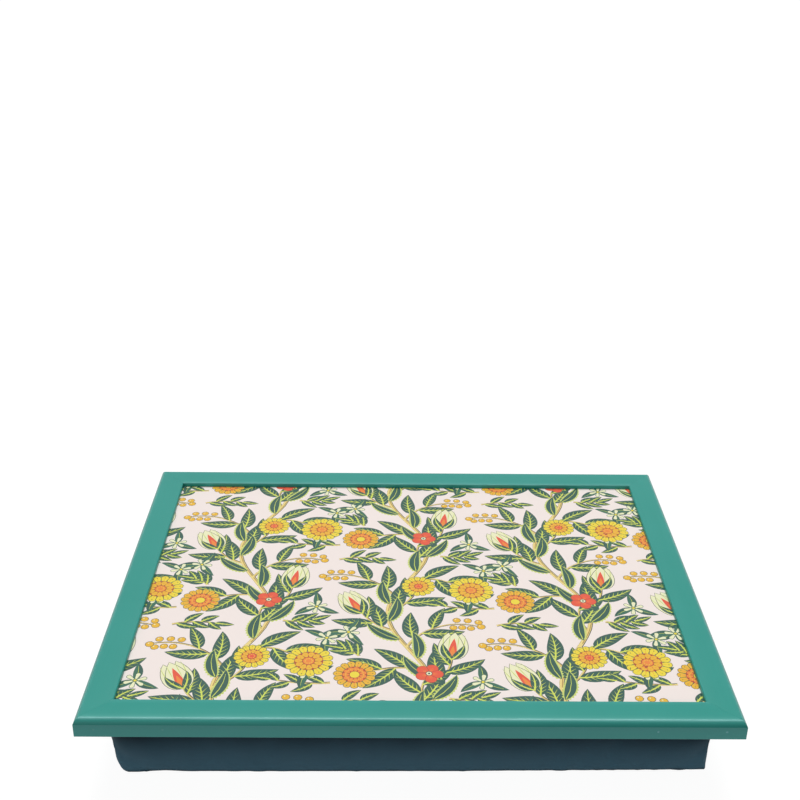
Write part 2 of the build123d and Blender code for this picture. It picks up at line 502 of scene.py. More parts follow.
def bowed(start, end, bulge, steps):
    """Points on a shallow arc from start towards end, without the end."""
    aside = (end - start) / abs(end - start) * 1j * bulge
    return [start + (end - start) * t + aside * 4 * t * (1 - t) for t in shares(steps)[:-1]]


def walk(path, distance):
    """How many points of a path lie within a distance of its start, and the point there."""
    for i in range(1, len(path)):
        step = abs(path[i] - path[i - 1])
        if step >= distance:
            return i, path[i - 1] + (path[i] - path[i - 1]) * distance / step
        distance -= step
    return len(path), path[-1]


def rounded_off(outline, corner, radius, steps=7):
    """Round the corner of a closed outline that lies nearest to a point."""
    at = min(range(len(outline)), key=lambda i: abs(outline[i] - corner))
    ahead = outline[at:] + outline[:at]
    behind = [ahead[0]] + ahead[:0:-1]
    turn = abs(cmath.phase((ahead[1] - ahead[0]) / (ahead[0] - behind[1])))
    cut = radius * math.tan(turn / 2)
    skip_ahead, after = walk(ahead, cut)
    skip_behind, before = walk(behind, cut)
    kept = ahead[skip_ahead:len(ahead) - skip_behind + 1]
    bend = [before * (1 - t) ** 2 + ahead[0] * 2 * t * (1 - t) + after * t * t for t in shares(steps)]
    return bend + kept


side_top = complex(0, FRAME_HEIGHT - SHOULDER_HEIGHT)
ridge = complex(SHOULDER_WIDTH, FRAME_HEIGHT)
lip = complex(RAIL_WIDTH, FRAME_HEIGHT - RIDGE_RISE)
top_run = lip.real - ridge.real
section = [0j, side_top / 2, side_top - 1.1j, side_top - 0.6j]
section += bowed(side_top, ridge, SHOULDER_BULGE, 10)
section += [ridge + complex(top_run * t, -RIDGE_RISE * (0.6 * t**2 + 0.4 * t**5)) for t in shares(16)]
rebate_corner = complex(REBATE_INSET, REBATE_DEPTH)
section += [complex(RAIL_WIDTH, REBATE_DEPTH), rebate_corner, complex(REBATE_INSET, 0)]
for corner, radius in ((0, 0.5), (side_top, 2.0), (ridge, 0.8), (lip, 1.2)):
    section = rounded_off(section, corner, radius)
loop = [(i, (i + 1) % len(section)) for i in range(len(section))]
section_mesh = mesh_of("moulding_section", [(p.real, p.imag, 0) for p in section], loop)
print("section points:", len(section))

# %% Mark where the paint is worn and where highlight, shade and reflection are painted
paint_marks = ("thin_ridge", "thin_lip", "thick_paint", "side_face")
lip_edge = lip + complex(-0.4, -0.3)
for mark in paint_marks:
    section_mesh.attributes.new(mark, "FLOAT", "POINT")
for i, point in enumerate(section):
    from_ridge, from_lip = abs(point - ridge), abs(point - lip_edge)
    on_side = point.real < 0.5 and 0 < point.imag < side_top.imag + 0.15
    # ridge and lip: wear and painted highlight; shoulder: painted shade; side: painted reflection
    levels = (
        bell(from_ridge, 0.8) + 0.2 * bell(from_ridge, 3),
        0.3 * bell(from_lip, 0.7) + 0.1 * bell(from_lip, 3),
        bell(abs(point - side_top), 3.2),
        float(on_side),
    )
    for mark, level in zip(paint_marks, levels):
        section_mesh.attributes[mark].data[i].value = level
print("marks:", paint_marks)

# %% Helpers for modelling trees
def modelling_tree(name, inputs):
    """An empty Geometry Nodes tree with named inputs, as a board."""
    tree = bpy.data.node_groups.new(name, "GeometryNodeTree")
    for label, kind in (("Geometry", "Geometry"), *inputs.items()):
        tree.interface.new_socket(label, in_out="INPUT", socket_type="NodeSocket" + kind)
    tree.interface.new_socket("Geometry", in_out="OUTPUT", socket_type="NodeSocketGeometry")
    return Board(tree)


def stored(board, shape, name, value, kind="FLOAT"):
    """A shape with a named value on its points."""
    sockets = {"Geometry": shape, "Name": name, "Value": value}
    return board.node("GeometryNodeStoreNamedAttribute", {"data_type": kind}, sockets)


def named(board, name, kind="FLOAT"):
    """A value that the points carry under a name."""
    return board.node("GeometryNodeInputNamedAttribute", {"data_type": kind}, {"Name": name})


def end_tree(board, shape, given):
    """Make instances real, give the finish and hand the shape out."""
    real = board.node("GeometryNodeRealizeInstances", {}, {"Geometry": shape})
    sockets = {"Geometry": real, "Material": given.out("Finish")}
    dressed = board.node("GeometryNodeSetMaterial", {}, sockets)
    board.node("NodeGroupOutput", {}, {"Geometry": dressed})
    print(board.tree.name, "nodes:", len(board.tree.nodes))


def made_by(board, name, base, values):
    """Run a tree on a base mesh and keep what comes out as a plain mesh."""
    piece = bpy.data.objects.new(name, base)
    scene.collection.objects.link(piece)
    step = piece.modifiers.new("Shape", "NODES")
    step.node_group = board.tree
    for item in board.tree.interface.items_tree:
        if item.in_out == "INPUT" and item.name in values:
            step[item.identifier] = values[item.name]
    mesh = evaluated_mesh(piece)
    piece.modifiers.remove(step)
    piece.data = mesh
    return piece


# %% Write the rail's tree
bench = modelling_tree("mitred_rail", {
    "Length": "Float",
    "Reach": "Float",
    "Base Height": "Float",
    "Joint": "Float",
    "Turn": "Float",
    "Divisions": "Int",
    "Ridge Wear And Highlight": "Float",
    "Lip Wear And Highlight": "Float",
    "Finish": "Material",
})
given = bench.node("NodeGroupInput")
profile = bench.node("GeometryNodeMeshToCurve", {}, {"Mesh": given})
half_length = given.out("Length") / 2
ends = {label: bench.xyz(X=half_length * side) for label, side in (("Start", -1), ("End", 1))}
line = bench.node("GeometryNodeCurvePrimitiveLine", {}, ends)
points_along = {"Curve": line, "Count": given.out("Divisions")}
stations = bench.node("GeometryNodeResampleCurve", {}, points_along)
upright = bench.node("GeometryNodeSetCurveTilt", {}, {"Curve": stations, "Tilt": math.pi})
sweep = {"Curve": upright, "Profile Curve": profile, "Fill Caps": True}
bar = bench.node("GeometryNodeCurveToMesh", {}, sweep)

place = bench.node("ShaderNodeSeparateXYZ", {}, {"Vector": bench.node("GeometryNodeInputPosition")})
inset = place.out("Y")
kept_share = 1 - (inset + given.out("Joint")) / half_length
mitred = bench.xyz(X=place.out("X") * kept_share, Y=inset, Z=place.out("Z"))
cut = bench.node("GeometryNodeSetPosition", {}, {"Geometry": bar, "Position": mitred})
own_place = bench.node("GeometryNodeInputPosition")
placed = stored(bench, cut, "rail_place", own_place, "FLOAT_VECTOR")
# how much worn paint and painted highlight each rail's ridge and lip carry
ridge_wear_highlight = named(bench, "thin_ridge") * given.out("Ridge Wear And Highlight")
lip_wear_highlight = named(bench, "thin_lip") * given.out("Lip Wear And Highlight")
with_wear_highlight = stored(bench, placed, "thin_paint", ridge_wear_highlight + lip_wear_highlight)
lift = bench.xyz(Y=0 - given.out("Reach"), Z=given.out("Base Height"))
raised = bench.node("GeometryNodeSetPosition", {}, {"Geometry": with_wear_highlight, "Offset": lift})
spin = bench.node("FunctionNodeEulerToRotation", {}, {"Euler": bench.xyz(Z=given.out("Turn"))})
turned = bench.node("GeometryNodeTransform", {}, {"Geometry": raised, "Rotation": spin})
end_tree(bench, turned, given)

# %% Make the four rails
sides = {
    # name: length, distance from the middle, turn in degrees, wear and painted highlight of the ridge
    # and of the lip
    "front": (TRAY_LENGTH, TRAY_DEPTH / 2, 0, 1.0, 1.0),
    "right": (TRAY_DEPTH, TRAY_LENGTH / 2, 90, 0.15, 0.0),
    "back": (TRAY_LENGTH, TRAY_DEPTH / 2, 180, 0.15, 1.0),
    "left": (TRAY_DEPTH, TRAY_LENGTH / 2, 270, 0.15, 0.0),
}
JOINT_GAP = 0.03
RAIL_DIVISIONS = 33
RAIL_CREASE = 35
for side, (length, reach, turn, ridge_wear_highlight, lip_wear_highlight) in sides.items():
    rail = made_by(bench, "painted_rail_" + side, section_mesh, {
        "Length": length * MM,
        "Reach": reach * MM,
        "Base Height": FRAME_BASE * MM,
        "Joint": JOINT_GAP * MM,
        "Turn": math.radians(turn),
        "Divisions": RAIL_DIVISIONS,
        "Ridge Wear And Highlight": ridge_wear_highlight,
        "Lip Wear And Highlight": lip_wear_highlight,
        "Finish": rail_paint,
    })
    settle_faces(rail.data, RAIL_CREASE)
    declare(rail, "painted_wood", side + "_rail")


# %% [markdown]
# ## The printed sheet
#
# The top is decor paper with a botanical print: vines, leaves, rosettes, blossoms and berries
# on a pale pink ground. It is a design of its own, in the manner of old block-printed papers.
# The ink could be a picture laid on the sheet, but an outline is sharper and needs no file. So
# every motif is a polygon, painted over the ones before it. All outlines are then cut into one
# flat mesh, and each face keeps the ink that was painted last over it. Points are complex
# numbers, because turning and moving a shape is then one multiplication and one addition.

# %% Choose the inks
INKS = {
    "ground": colour(248, 236, 231),
    "leaf": colour(28, 82, 70),
    "leaf_soft": colour(42, 102, 80),
    "vein": colour(214, 226, 92),
    "line": colour(48, 60, 48),
    "straw": colour(240, 217, 136),
    "straw_shade": colour(178, 142, 72),
    "yellow": colour(242, 220, 58),
    "gold": colour(238, 186, 44),
    "orange": colour(240, 138, 54),
    "coral": colour(233, 86, 56),
    "rust": colour(172, 66, 38),
    "cream": colour(241, 241, 198),
    "lime": colour(205, 218, 116),
}
PRINT_SCALE = 1.2
layers = {"line": [], "stem": [], "leaf": [], "head": []}


def paint_on(layer, ink, outline):
    """Add an outline to a layer in print size, anticlockwise as the cutting needs."""
    outline = [point * PRINT_SCALE for point in outline]
    pairs = zip(outline, outline[1:] + outline[:1])
    area = sum(a.real * b.imag - b.real * a.imag for a, b in pairs)
    layers[layer].append((ink, outline if area > 0 else outline[::-1]))


print("inks:", len(INKS))

# %% Drawing helpers
ray = cmath.rect  # the point at a length and an angle


def around(count, turn=0.0, lead=0.0):
    """Directions spread evenly about a centre."""
    return [turn + math.tau * (share + lead) for share in shares(count)[:-1]]


def ring(centre, radius, count, turn=0.0):
    """The corners of a regular polygon."""
    return [centre + ray(radius, way) for way in around(count, turn)]


class Bow:
    """A line of even bend that leaves its root in a given direction."""

    def __init__(self, root, turn, length, bend):
        self.root, self.turn, self.length, self.bend = root, turn, length, bend

    def heading(self, share):
        return self.turn + self.bend * share

    def at(self, share, aside=0.0):
        """The point at a share of the length, moved to its left by aside."""
        bend = 1j * self.bend
        reached = (cmath.exp(bend * share) - 1) / bend if bend else share
        side_step = ray(aside, self.heading(share) + math.pi / 2)
        return self.root + ray(self.length, self.turn) * reached + side_step


def between(values, share):
    """The value at a share of the way along a list of values."""
    place = share * (len(values) - 1)
    index = min(int(place), len(values) - 2)
    return values[index] + (values[index + 1] - values[index]) * (place - index)


def ribbon(line, widths, steps, start=0.0, end=1.0, aside=0.0):
    """The outline of a line that has a width."""
    marks = [(start + (end - start) * share, between(widths, share) / 2) for share in shares(steps)]
    left = [line.at(place, aside + half) for place, half in marks]
    right = [line.at(place, aside - half) for place, half in marks]
    return left + right[::-1]


def leaf_outline(line, marks, foot, tip):
    """From foot to tip along one side of a line and back along its other side."""
    out = [line.at(share, -half) for share, half in marks]
    back = [line.at(share, half) for share, half in marks]
    return [line.at(foot)] + out + [line.at(tip)] + back[::-1]


def swelling(share, fullness=0.75, roundness=0.85):
    """How wide a leaf is along its length, as a share of its widest."""
    return math.sin(math.pi * share**fullness) ** roundness


def blade(line, width, steps, fullness=0.75, grow=0.0):
    """A leaf's outline, pointed at both ends and widest below its middle."""
    marks = [(share, width / 2 * swelling(share, fullness) + grow) for share in shares(steps)[1:-1]]
    past = grow / line.length
    return leaf_outline(line, marks, -past, 1 + past)


def dart(centre, turn, start, end, half_angle):
    """A thin triangle on a ray from the centre."""
    foot = [centre + ray(start, turn + side * half_angle) for side in (-1, 1)]
    return [foot[0], centre + ray(end, turn), foot[1]]


print("drawing helpers ready")

# %% Draw leaves and stems
def veined_leaf(root, turn, length, width, bend, pairs=6, layer="leaf"):
    line = Bow(root, turn, length, bend)
    paint_on(layer, "leaf", blade(line, width, 10))
    paint_on(layer, "vein", ribbon(line, (1.1, 0.9, 0.3), 5, 0.0, 0.94))
    for k in range(pairs):
        base = 0.12 + 0.64 * k / (pairs - 1)
        reach = base + 0.15
        out = width * 0.42 * swelling(min(reach, 0.99))
        for side in (-1, 1):
            vein = [line.at(base - 0.016), line.at(base + 0.016), line.at(reach, side * out)]
            paint_on(layer, "vein", vein)


def toothed_leaf(root, turn, length, width, bend):
    """A narrow leaf with a pale saw edge."""
    line = Bow(root, turn, length, bend)
    marks = []
    for i, share in enumerate(shares(24)[1:-1]):
        tooth = i % 2
        marks.append((share - 0.022 * tooth, width / 2 * swelling(share, 0.8, 0.8) + 0.9 * tooth))
    paint_on("leaf", "lime", leaf_outline(line, marks, 0, 1.04))
    paint_on("leaf", "leaf", blade(line, width * 0.84, 9, 0.8))
    paint_on("leaf", "vein", ribbon(line, (0.55, 0.2), 3, 0.05, 0.85))


def folded_leaf(root, turn, length, width, bend):
    """A small leaf whose far half is darker."""
    line = Bow(root, turn, length, bend)
    outline = blade(line, width, 8, 0.8)
    paint_on("leaf", "leaf_soft", outline)
    paint_on("leaf", "leaf", [line.at(share) for share in shares(6)] + outline[8:0:-1])
    paint_on("leaf", "vein", ribbon(line, (0.5, 0.15), 3, 0.0, 0.8))


def stem(line, widths, steps):
    """A straw-coloured stem with a dark outline and a shaded side."""
    paint_on("line", "line", ribbon(line, [w + 0.6 for w in widths], steps, aside=-0.2))
    paint_on("stem", "straw", ribbon(line, widths, steps))
    shade = [w * 0.26 for w in widths]
    paint_on("stem", "straw_shade", ribbon(line, shade, steps, 0.05, 0.95, -widths[0] * 0.2))


def sprig(root, turn, length, bend):
    """A loose sprig that fills a gap between the vines."""
    line = Bow(root, turn, length, bend)
    stem(line, (1.3, 0.6), 6)
    for k in range(5):
        side = 1 if k % 2 else -1
        place = 0.1 + 0.19 * k
        veined_leaf(line.at(place), line.heading(place) + 0.8 * side, 15 - k, 5.6, -0.5 * side, 4)
    veined_leaf(line.at(1), line.heading(1), 12, 4.8, 0.2, 4)


print("leaves ready")

# %% Draw round flowers
def petal(centre, turn, inner, outer, width, ink, edge, steps):
    """A round-ended petal on a ray from the centre, with an outline if edge is an ink."""
    def outline(grow):
        tip = [ray(width / 2 + grow, math.pi * (s - 0.5)) + outer - width / 2 for s in shares(steps)]
        foot = [complex(inner, side * (width * 0.16 + grow)) for side in (1, -1)]
        return [centre + point * ray(1, turn) for point in tip + foot]

    if edge:
        paint_on("head", edge, outline(0.35))
    paint_on("head", ink, outline(0.0))


def rosette(centre, radius, turn, outer, inner, eye):
    """A round flower: two rings of petals about a stippled eye."""
    for way in around(15, turn):
        petal(centre, way, radius * 0.5, radius, radius * 0.36, outer, "line", 4)
    for way in around(15, turn):
        paint_on("head", inner, dart(centre, way, radius * 0.56, radius * 0.9, 0.05))
    paint_on("head", "rust", ring(centre, radius * 0.6, 20, turn))
    for way in around(11, turn, 0.04):
        petal(centre, way, radius * 0.25, radius * 0.58, radius * 0.27, inner, None, 4)
    for size, ink in ((0.27, "rust"), (0.235, eye)):
        paint_on("head", ink, ring(centre, radius * size, 12, turn))
    stipples = ((9, 0.15, 0.032, "yellow"), (22, 0.42, 0.032, eye), (15, 0.86, 0.03, "line"))
    for dots, reach, size, ink in stipples:
        for way in around(dots, turn):
            paint_on("head", ink, ring(centre + ray(radius * reach, way), radius * size, 4, turn))


def blossom(centre, radius, turn):
    """Five broad petals with fine darts, and a pale eye."""
    for way in around(5, turn):
        petal(centre, way, radius * 0.1, radius, radius * 0.82, "coral", "rust", 7)
    for way in around(5, turn):
        for lean, end in ((-0.2, 0.66), (0.0, 0.8), (0.2, 0.66)):
            paint_on("head", "orange", dart(centre, way + lean, radius * 0.3, radius * end, 0.07))
    for size, ink in ((0.25, "line"), (0.2, "cream"), (0.09, "leaf")):
        paint_on("head", ink, ring(centre, radius * size, 9, turn))


def star(centre, radius, turn):
    """A small flower of six narrow petals."""
    for way in around(6, turn):
        petal(centre, way, radius * 0.1, radius, radius * 0.38, "cream", "leaf_soft", 4)
    for size, ink in ((0.24, "leaf_soft"), (0.15, "yellow")):
        paint_on("head", ink, ring(centre, radius * size, 6, turn))


print("round flowers ready")

# %% Draw side flowers and berries
def cup_flower(base, turn, length):
    """A pale flower seen from its side: three petals, a flame and two sepals."""
    for lean, width in ((0.42, 0.42), (-0.42, 0.42), (0.0, 0.5)):
        line = Bow(base, turn + lean, length, -1.3 * lean)
        paint_on("head", "line", blade(line, width * length, 9, 0.68, 0.35))
        paint_on("head", "cream", blade(line, width * length, 9, 0.68))
        for side in (-1, 1):
            stripe = ribbon(line, (0.1, 0.6, 0.1), 4, 0.35, 0.95, side * width * length * 0.2)
            paint_on("head", "lime", stripe)
    for size, ink in ((0.78, "coral"), (0.5, "orange")):
        paint_on("head", ink, blade(Bow(base, turn, length * size, 0.0), length * size * 0.24, 6, 0.7))
    for lean in (0.75, -0.75):
        veined_leaf(base, turn + lean, length * 0.62, length * 0.2, -0.9 * lean, 3, "head")


def berry(centre, radius):
    paint_on("head", "line", ring(centre, radius + 0.35, 9))
    paint_on("head", "gold", ring(centre, radius, 9))
    paint_on("head", "cream", ring(centre + complex(-0.3, 0.35) * radius, radius * 0.26, 4))


def berry_twig(root, turn, length, bend, count):
    """An arching twig with berries at either side in turn."""
    line = Bow(root, turn, length, bend)
    stem(line, (0.9, 0.5), 5)
    for k, share in enumerate(shares(count - 1)):
        along = 0.3 + 0.62 * share
        side = 1 if k % 2 else -1
        spot = line.at(along, side * 3.6)
        paint_on("line", "line", [line.at(along - 0.06, 0.3), line.at(along - 0.06, -0.3), spot])
        berry(spot, 2.2)
    berry(line.at(1.03), 2.4)


print("flowers and berries ready")

# %% [markdown]
# A printed paper repeats: the same block is stamped again and again, and each column is moved
# down by half a block so that the eye doesn't find rows. The block below is one swaying vine
# with shoots to either side, and loose sprigs and stars in the gaps. Its lists say where each
# one starts, where it leans and what it carries, and are the whole composition.

# %% Compose the block
BLOCK_WIDTH = 97.0
BLOCK_HEIGHT = 143.0
SWAY = 13.0
shoots = (
    # share of the vine, side, lean, length, bend, what it carries
    (0.02, 1, 0.95, 30, -0.7, "yellow rosette"),
    (0.13, -1, 0.85, 28, 0.9, "blossom"),
    (0.27, 1, 0.80, 27, 0.6, "cup"),
    (0.38, -1, 1.00, 31, -0.5, "orange rosette"),
    (0.52, 1, 0.90, 30, -0.8, "berries"),
    (0.63, -1, 0.80, 26, 0.7, "cup"),
    (0.76, 1, 1.00, 27, 0.7, "small rosette"),
    (0.88, -1, 0.85, 30, -0.7, "berries"),
)
rosettes = {
    # how far past the shoot its centre lies, radius, and the inks of petals, inside and eye
    "yellow rosette": (11, 14.0, "yellow", "gold", "orange"),
    "orange rosette": (10, 12.0, "gold", "orange", "yellow"),
    "small rosette": (8, 10.5, "yellow", "gold", "coral"),
}
shoot_leaves = ((0.3, 0.9, 27), (0.55, -0.9, 26), (0.8, 0.85, 23))
sprigs = (
    # where they start across and along the block, direction, length, bend
    (-0.46, 0.17, 0.35, 26, -0.6),
    (0.54, 0.79, 3.25, 34, -0.4),
    (0.22, 0.2, -0.2, 18, 0.5),
    (-0.30, 0.46, 2.2, 12, 0.6),
)
stars = ((0.5, 0.08, 0.3), (0.42, 0.3, 1.4), (-0.37, 0.62, 0.9), (0.4, 0.86, 0.1))


class Vine:
    """The main stem of one block, swaying about a straight line."""

    def __init__(self, origin):
        self.origin = origin

    def heading(self, share):
        return math.atan2(BLOCK_HEIGHT, SWAY * math.tau * math.cos(math.tau * share))

    def at(self, share, aside=0.0):
        along = complex(SWAY * math.sin(math.tau * share), BLOCK_HEIGHT * share)
        return self.origin + along + ray(aside, self.heading(share) + math.pi / 2)


def head_on(line, side, bend, head):
    """What a shoot carries at its tip."""
    tip, end = line.at(1), line.heading(1)
    if head in rosettes:
        past, radius, *inks = rosettes[head]
        rosette(tip + ray(past, end), radius, end, *inks)
    elif head == "blossom":
        blossom(tip + ray(5, end), 8.0, end)
    elif head == "cup":
        cup_flower(tip, end, 26.0)
    else:
        berry_twig(tip, end, 24.0, side * bend, 6)


def stamp(origin):
    """Everything in one block."""
    vine = Vine(origin)
    stem(vine, (2.3, 2.3), 20)
    for share, side, lean, length, bend, head in shoots:
        line = Bow(vine.at(share), vine.heading(share) - side * lean, length, side * bend)
        stem(line, (1.6, 0.9), 6)
        for place, leaf_lean, size in shoot_leaves:
            out = side * leaf_lean
            veined_leaf(line.at(place), line.heading(place) + out, size, size * 0.37, -0.5 * out)
        head_on(line, side, bend, head)
    for k in range(8):
        place = 0.07 + k / 8
        side = 1 if k % 2 else -1
        toothed_leaf(vine.at(place), vine.heading(place) - 0.75 * side, 26, 7.5, 0.7 * side)
    for across, along, turn, length, bend in sprigs:
        sprig(origin + complex(across * BLOCK_WIDTH, along * BLOCK_HEIGHT), turn, length, bend)
    for across, along, turn in stars:
        centre = origin + complex(across * BLOCK_WIDTH, along * BLOCK_HEIGHT)
        for k in range(3):
            folded_leaf(centre, turn + k * math.tau / 3, 16, 5.5, 0.5)
        star(centre, 6.5, turn)


print("shoots:", len(shoots), "sprigs:", len(sprigs), "stars:", len(stars))

# %% Stamp the block over the sheet
columns = int(sheet_high.x / BLOCK_WIDTH / PRINT_SCALE) + 2
rows = int(sheet_high.y / BLOCK_HEIGHT / PRINT_SCALE) + 2
for column in range(-columns, columns + 1):
    for row in range(-rows, rows + 1):
        drop = BLOCK_HEIGHT / 2 * (column % 2)
        stamp(complex(column * BLOCK_WIDTH, row * BLOCK_HEIGHT + drop))


def reach_of(outline):
    """The lowest and highest x and y of an outline."""
    across = [point.real for point in outline]
    along = [point.imag for point in outline]
    return min(across), max(across), min(along), max(along)


def touches(reach, window):
    """Whether an outline's reach and a window have room in common."""
    in_x = reach[1] > window[0] and reach[0] < window[1]
    return in_x and reach[3] > window[2] and reach[2] < window[3]


SHEET_WINDOW = (sheet_low.x, sheet_high.x, sheet_low.y, sheet_high.y)
painted = [(ink, outline, reach_of(outline)) for layer in layers.values() for ink, outline in layer]
painted = [shape for shape in painted if touches(shape[2], SHEET_WINDOW)]
print("painted shapes:", len(painted))

# %% [markdown]
# Cutting one plane along fifty thousand edges at once takes minutes, because every new edge is
# tried against all others. Cut in small square cells it takes seconds. Neighbouring cells meet
# along the same line, so their points are merged again afterwards.

# %% Helpers that cut one cell
def ring_of(face):
    """The edges of a face, in turn."""
    return zip(face, face[1:] + face[:1])


def cut_cell(window, shapes):
    """Triangles of one cell, each with the ink painted last over it."""
    x_low, x_high, y_low, y_high = window
    cell_edge = [complex(x_low, y_low), complex(x_high, y_low)]
    cell_edge += [complex(x_high, y_high), complex(x_low, y_high)]
    inks, corners, loops = [], [], []
    for ink, outline in [("ground", cell_edge)] + shapes:
        inks.append(ink)
        loops.append(range(len(corners), len(corners) + len(outline)))
        corners += [Vector((point.real, point.imag)) for point in outline]
    cut = delaunay_2d_cdt(corners, [], loops, 0, 1e-5, True)
    seen = [(face, inks[max(owners)]) for face, owners in zip(cut[2], cut[5]) if 0 in owners]
    return cut_again(cut[0], seen)


def cut_again(points, faces):
    """Cut only where two inks meet, so that covered outlines leave no points behind."""
    left_ink = {edge: ink for face, ink in faces for edge in ring_of(face)}
    lines = {edge: ink for edge, ink in left_ink.items() if left_ink.get(edge[::-1]) != ink}
    used = sorted({i for edge in lines for i in edge})
    number = {old: new for new, old in enumerate(used)}
    ink_at = {(number[a], number[b]): ink for (a, b), ink in lines.items()}
    cut = delaunay_2d_cdt([points[i] for i in used], list(ink_at), [], 0, 0.0, True)
    beside = {edge: tuple(face) for face in cut[2] for edge in ring_of(tuple(face))}
    inked = {beside[edge]: ink for edge, ink in ink_at.items() if edge in beside}
    spread = list(inked)
    for face in spread:
        for edge in ring_of(face):
            other = beside.get(edge[::-1])
            if other and other not in inked and edge not in ink_at:
                inked[other] = inked[face]
                spread.append(other)
    return [([cut[0][i] for i in face], ink) for face, ink in inked.items()]


def cell_marks(low, high, cells):
    """Where the cells of one row begin and end."""
    marks = [low + (high - low) * i / cells for i in range(cells + 1)]
    return list(zip(marks, marks[1:]))


print("two cells of a row:", cell_marks(0, 1, 2))

# %% Cut the sheet along every outline
CELLS_LONG, CELLS_DEEP = 16, 12
CUT_MERGE = 0.004
ink_numbers = {ink: number for number, ink in enumerate(INKS)}
work = bmesh.new()
ink_of_face = work.faces.layers.int.new("ink_number")
for x_marks in cell_marks(sheet_low.x, sheet_high.x, CELLS_LONG):
    for y_marks in cell_marks(sheet_low.y, sheet_high.y, CELLS_DEEP):
        window = (*x_marks, *y_marks)
        inside = [(ink, outline) for ink, outline, reach in painted if touches(reach, window)]
        for points, ink in cut_cell(window, inside):
            corner_points = [work.verts.new((p.x * MM, p.y * MM, sheet_high.z * MM)) for p in points]
            work.faces.new(corner_points)[ink_of_face] = ink_numbers[ink]
bmesh.ops.remove_doubles(work, verts=work.verts, dist=CUT_MERGE * MM)
print("triangles in the print:", len(work.faces))

# %% Close the sheet and ink its faces
SHEET_SURFACE = sheet_high.z * MM - 1e-6
rim = [edge for edge in work.edges if edge.is_boundary]
walls = bmesh.ops.extrude_edge_only(work, edges=rim)["geom"]
foot_edges = [part for part in walls if isinstance(part, bmesh.types.BMEdge) and part.is_boundary]
for part in walls:
    if isinstance(part, bmesh.types.BMVert):
        part.co.z = sheet_low.z * MM
bmesh.ops.contextual_create(work, geom=foot_edges)
for face in work.faces:
    if abs(face.normal.z) < 0.5 or face.calc_center_median().z < SHEET_SURFACE:
        face[ink_of_face] = ink_numbers["ground"]
bmesh.ops.recalc_face_normals(work, faces=work.faces)
open_edges = sum(not edge.is_manifold for edge in work.edges)
sheet_mesh = bpy.data.meshes.new("botanical_sheet")
work.to_mesh(sheet_mesh)
work.free()

ink_list = list(INKS.values())
sheet_mesh.color_attributes.new("ink", "BYTE_COLOR", "CORNER")
sheet_mesh.uv_layers.new(name="OFBake")
ink_layer = sheet_mesh.color_attributes["ink"]
plan = sheet_mesh.uv_layers["OFBake"]
numbers = [value.value for value in sheet_mesh.attributes["ink_number"].data]
span = sheet_high.x - sheet_low.x
for face, number in zip(sheet_mesh.polygons, numbers):
    for corner in face.loop_indices:
        ink_layer.data[corner].color = (*ink_list[number], 1.0)
        at = sheet_mesh.vertices[sheet_mesh.loops[corner].vertex_index].co / MM
        plan.data[corner].uv = (at.x / span + 0.5, at.y / span + 0.5)
print("open edges:", open_edges, "sheet faces:", len(sheet_mesh.polygons))

# %% [markdown]
# The paper is sealed under a satin film. Its finish takes the ink from the faces, adds the
# slight unevenness of a printed tint, and lets the film's very fine grain break up highlights.

# %% Finish the sheet
print_finish, film = finish_named("printed_film")
film_place = film.place()
tint = film.noise(film_place, 35.0, 3.0)
speckle = film.noise(film_place, 2600.0, 1.0)
ink_colour = film.node("ShaderNodeVertexColor", {"layer_name": "ink"})
film.surface({
    "Base Color": film.blend(0.02 * tint + 0.02 * speckle, ink_colour, colour(255, 244, 236)),
    "Roughness": 0.42 + 0.08 * tint,
    "Normal": film.bumped(speckle, 0.00002, 0.5),
    "Specular IOR Level": 0.2,
})
sheet = piece_of("botanical_sheet", sheet_mesh, print_finish)
declare(sheet, "print", "printed_sheet")


# %% [markdown]
# ## The cushion
#
# Under the tray is a cotton cover, stapled in the frame's rebate, sewn to a bottom panel and
# filled with polystyrene beads. Beads push outwards evenly, which is what a cloth simulation
# with pressure does. So the cover starts a little small, as a grid of squares in the cushion's
# shape, is held where the staples hold it and where it rests, and is blown up. Its seams and
# the creases that packing leaves are shaped afterwards, where their exact place matters.

# %% The cushion's shape
COVER_TOP = box_mm("panel_board")[0].z - 0.05
cover_levels = (
    # height, inset from the tray's side, how far the sides draw in, corner radius
    (2.6, 17.2, 0.8, 1.8),
    (20.0, 16.7, 0.5, 2.6),
    (38.0, 16.7, 0.3, 2.4),
    (FRAME_BASE, 16.4, 0.0, 2.0),
    (COVER_TOP, 16.4, 0.0, 2.0),
)
SEAM_HEIGHT, SEAM_INSET = cover_levels[0][:2]
CORNER_X = TRAY_LENGTH / 2 - SEAM_INSET
CORNER_Y = TRAY_DEPTH / 2 - SEAM_INSET
DRAW_REACH = 30
LEAST_RADIUS = 1.0
crown_curve = ((0.0, 0.0), (5.5, 0.62), (20.7, 0.92), (46.0, 1.0))
CROWN_CUT = 0.5


def along_curve(curve, place):
    """The rest of the row of a table at a place, eased between its rows."""
    for before, after in zip(curve, curve[1:]):
        if place <= after[0]:
            share = max(0.0, (place - before[0]) / (after[0] - before[0]))
            return [a + (b - a) * share for a, b in zip(before[1:], after[1:])]
    return list(curve[-1][1:])


def grid_marks(half, near_edge, spacing):
    """Marks from one side of the cushion to the other, closer near its edges."""
    middle = half - near_edge[-1]
    count = max(1, round(middle / spacing))
    depths = list(near_edge) + [near_edge[-1] + middle * share for share in shares(count)[1:]]
    return [(-1, depth) for depth in depths] + [(1, depth) for depth in depths[-2::-1]]


